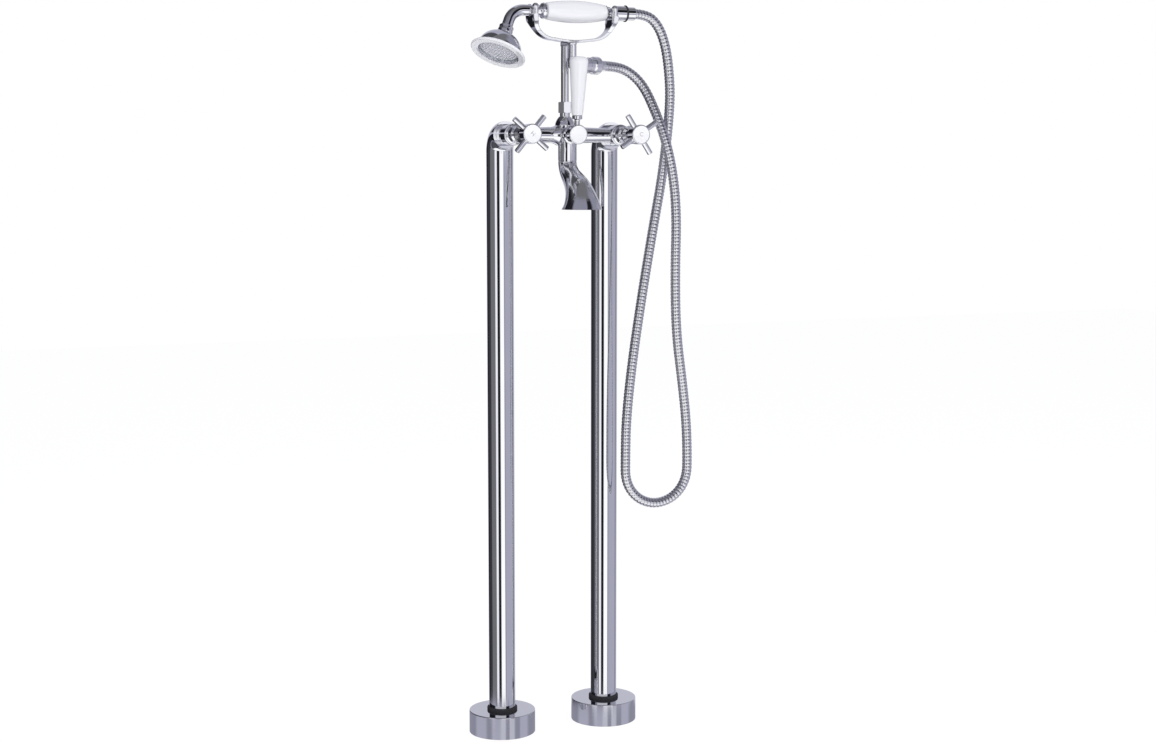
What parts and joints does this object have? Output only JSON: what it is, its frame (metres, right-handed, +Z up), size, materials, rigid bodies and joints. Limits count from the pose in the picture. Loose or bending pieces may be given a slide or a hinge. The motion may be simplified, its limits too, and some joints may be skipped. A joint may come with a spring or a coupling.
{
  "type": "floor standing bath filler",
  "caption": "Floor standing bath filler: two legs carry a mixer with cross handles, swan neck spout, ceramic diverter lever and a hand shower in a cradle with a ribbed hose.",
  "frame": {"origin": "on the floor, midway between the axes of the two legs", "axes": "+X from the left leg to the right leg and the hose as seen from the front, -Y out of the front where the handles face, +Z up"},
  "size_m": [0.3349, 0.181, 1.0381],
  "materials": {
    "chrome": "polished chrome plate on brass",
    "post_chrome": "polished chrome plated tube",
    "hose_chrome": "chromed ribbed metal hose",
    "white_ceramic": "glossy white glaze",
    "index_white": "glossy white enamel",
    "black_rubber": "matt black rubber",
    "seal_rubber": "black rubber",
    "spray_plate": "satin perforated plate",
    "inner_brass": "plain machined brass",
    "copper": "plain copper tube",
    "cast_base": "painted casting",
    "steel": "zinc plated steel"
  },
  "bodies": {
    "stand": {"left_floor_plate": "cast_base", "right_floor_plate": "cast_base", "left_flange_cover": "chrome", "right_flange_cover": "chrome", "left_collar_ring": "black_rubber", "right_collar_ring": "black_rubber", "left_post": "post_chrome", "right_post": "post_chrome", "left_supply_pipe": "copper", "right_supply_pipe": "copper", "left_elbow": "chrome", "right_elbow": "chrome", "pipe_seals": "seal_rubber", "left_union": "inner_brass", "right_union": "inner_brass", "left_union_shroud": "chrome", "right_union_shroud": "chrome", "union_washers": "seal_rubber", "mixer_body": "chrome", "left_bonnet": "chrome", "right_bonnet": "chrome", "left_cartridge": "inner_brass", "right_cartridge": "inner_brass", "diverter_bonnet": "chrome", "diverter_cartridge": "inner_brass", "spout": "chrome", "spout_seal": "seal_rubber", "riser_nut": "chrome", "riser_pipe": "chrome", "cradle_yoke": "chrome", "hose_outlet": "chrome", "outlet_washer": "seal_rubber", "lower_hose_nut": "chrome", "lower_hose_ferrule": "chrome", "shower_hose": "hose_chrome"},
    "left_handle": {"left_cross_handle": "chrome", "left_spindle": "inner_brass", "left_index_disc": "index_white", "left_handle_screw": "steel"},
    "right_handle": {"right_cross_handle": "chrome", "right_spindle": "inner_brass", "right_index_disc": "index_white", "right_handle_screw": "steel"},
    "diverter_lever": {"diverter_hub": "chrome", "diverter_disc": "index_white", "diverter_spindle": "inner_brass", "lever_ferrule": "chrome", "ceramic_lever": "white_ceramic", "lever_rod": "steel"},
    "handset": {"handset_arm": "chrome", "grip_collar": "chrome", "ceramic_grip": "white_ceramic", "grip_tube": "inner_brass", "handset_tail": "chrome", "tail_ring": "black_rubber", "upper_hose_nut": "chrome", "rose_bell": "chrome", "rose_rim": "white_ceramic", "rose_plate": "spray_plate"}
  },
  "joints": [
    {"name": "left_valve", "type": "hinge", "parent": "stand", "child": "left_handle", "pos_m": [-0.08, -0.1, 0.856], "axis": [0, 1, 0], "range_deg": [-90, 0]},
    {"name": "right_valve", "type": "hinge", "parent": "stand", "child": "right_handle", "pos_m": [0.08, -0.1, 0.856], "axis": [0, 1, 0], "range_deg": [0, 90]},
    {"name": "diverter_turn", "type": "hinge", "parent": "stand", "child": "diverter_lever", "pos_m": [0, -0.08, 0.856], "axis": [0, 1, 0], "range_deg": [-60, 60]},
    {"name": "handset_lift", "type": "slide", "parent": "stand", "child": "handset", "axis": [0, 0, 1], "range_m": [0, 0.06], "deforming": ["shower_hose"]}
  ]
}
